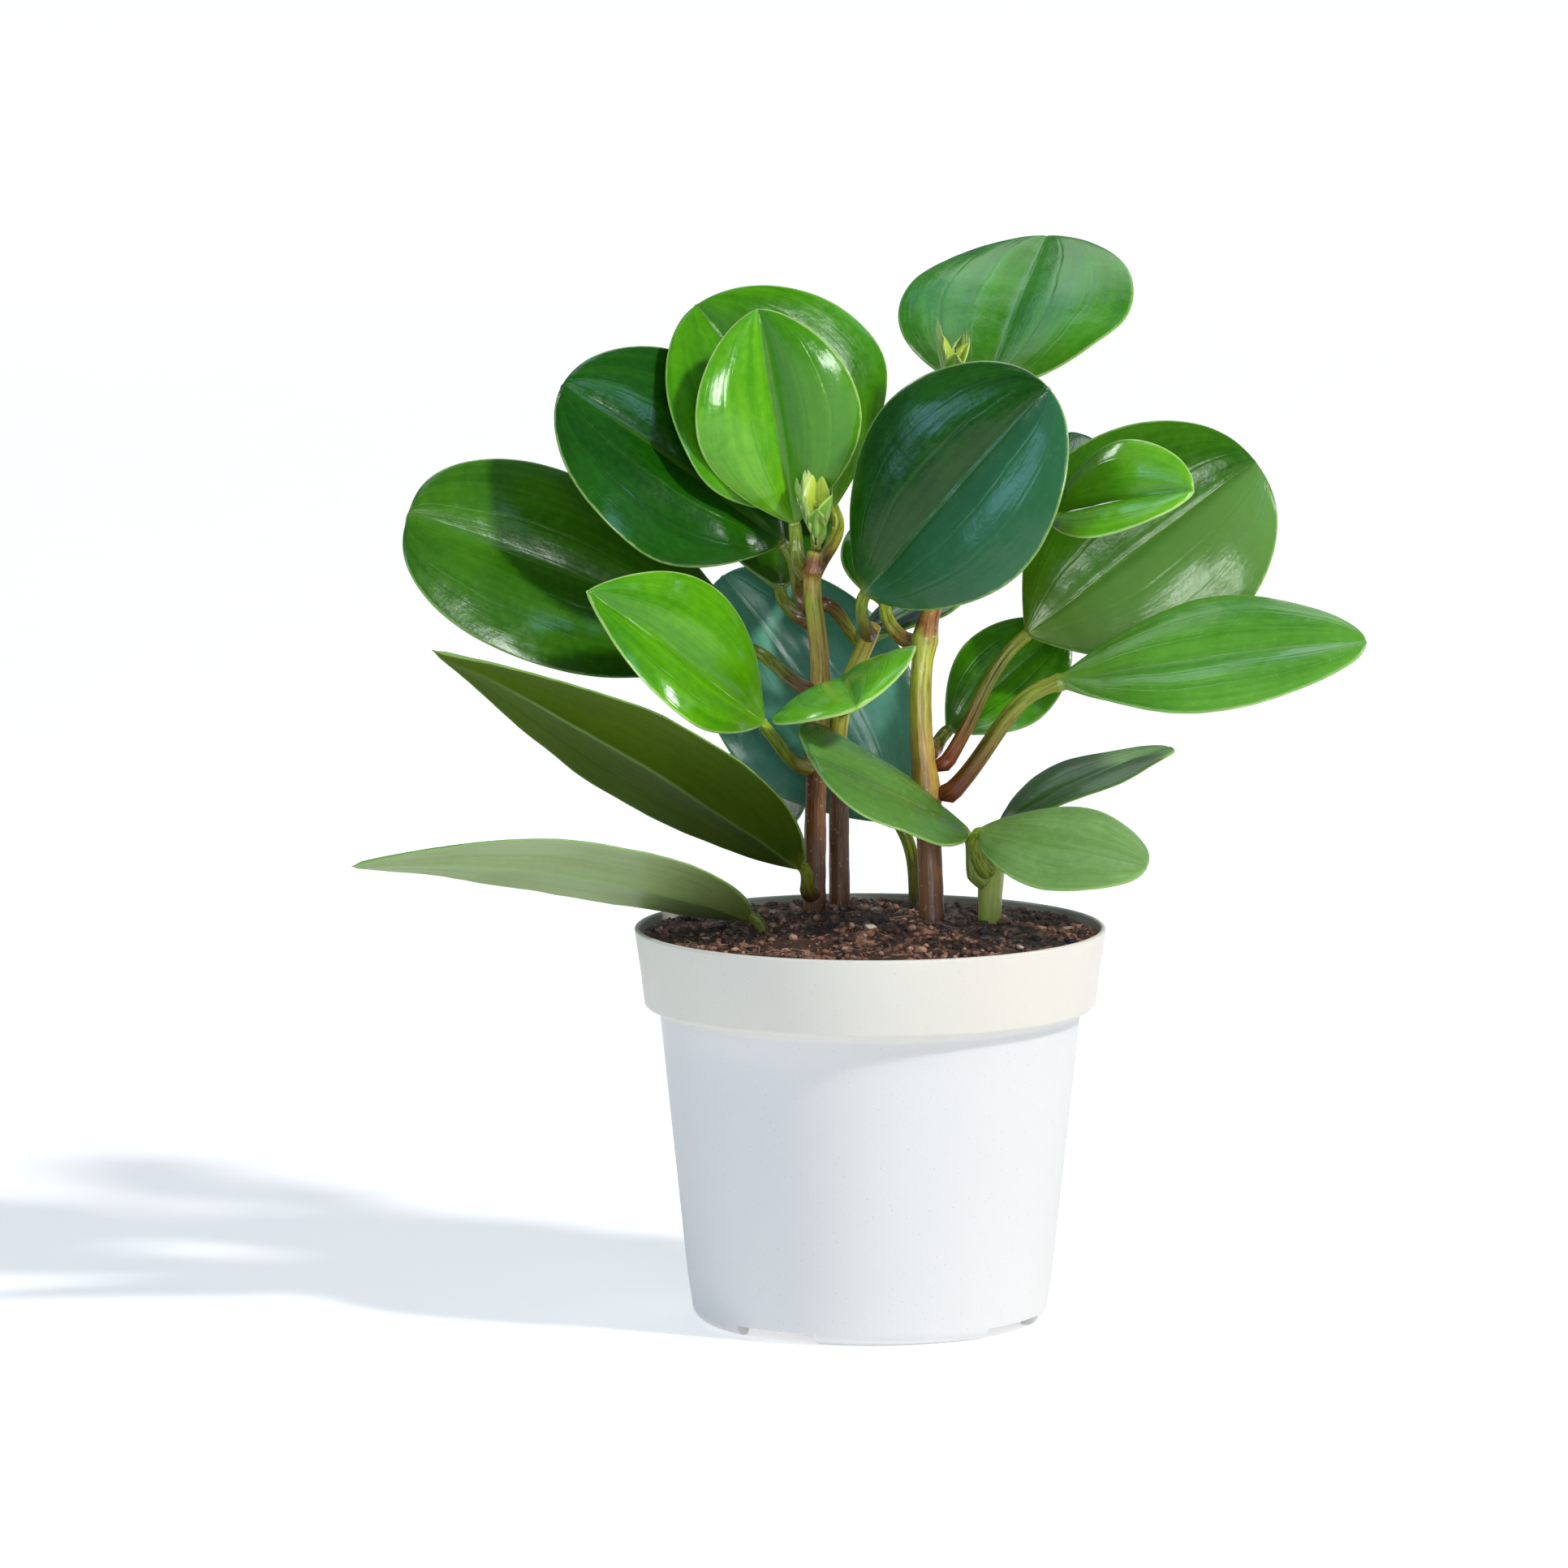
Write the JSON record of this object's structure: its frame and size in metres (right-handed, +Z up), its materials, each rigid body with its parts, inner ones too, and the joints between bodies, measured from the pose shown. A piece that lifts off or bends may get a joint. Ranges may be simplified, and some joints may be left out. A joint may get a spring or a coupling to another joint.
{
  "type": "potted peperomia plant",
  "caption": "A peperomia with thick glossy oval green leaves on short upright stems, growing in dark crumbly soil in a round white plastic nursery pot with a collar and notched foot",
  "frame": {"origin": "centre of the pot's underside, in the plane that it stands on", "axes": "+Z up along the pot's axis, +X to the right of the plant's showing side, +Y away from the viewer"},
  "size_m": [0.2599, 0.1524, 0.2738],
  "materials": {
    "pot_plastic": "smooth moulded, slightly warm white",
    "soil": "loose dark peat and coir crumbs",
    "stem": "fleshy, olive to brown",
    "leaf_mature": "thick waxy leaf, glossy dark green",
    "leaf_young": "thick waxy leaf, glossy bright green"
  },
  "bodies": {
    "root": {"pot": "pot_plastic", "soil": "soil", "stem_left": "stem", "stem_middle": "stem", "stem_right": "stem", "side_shoot": "stem", "leaf_top_right": "leaf_mature", "leaf_front_dark": "leaf_mature", "leaf_folded_top": "leaf_mature", "leaf_upper_left": "leaf_mature", "leaf_far_left": "leaf_mature", "leaf_low_front_left": "leaf_mature", "leaf_low_front_right": "leaf_mature", "leaf_low_right_back": "leaf_mature", "leaf_centre_back": "leaf_mature", "leaf_left_underside": "leaf_mature", "leaf_lowest_left": "leaf_mature", "leaf_right_upper": "leaf_mature", "leaf_far_right": "leaf_mature", "leaf_right_shaded": "leaf_mature", "leaf_back_centre": "leaf_mature", "leaf_back_high": "leaf_mature", "leaf_back_middle": "leaf_mature", "leaf_back_right": "leaf_mature", "leaf_back_left": "leaf_mature", "leaf_front_bright": "leaf_young", "leaf_small_left": "leaf_young", "leaf_small_centre": "leaf_young", "leaf_small_right": "leaf_young", "tip_left": "leaf_young", "tip_right": "leaf_young"}
  },
  "joints": []
}
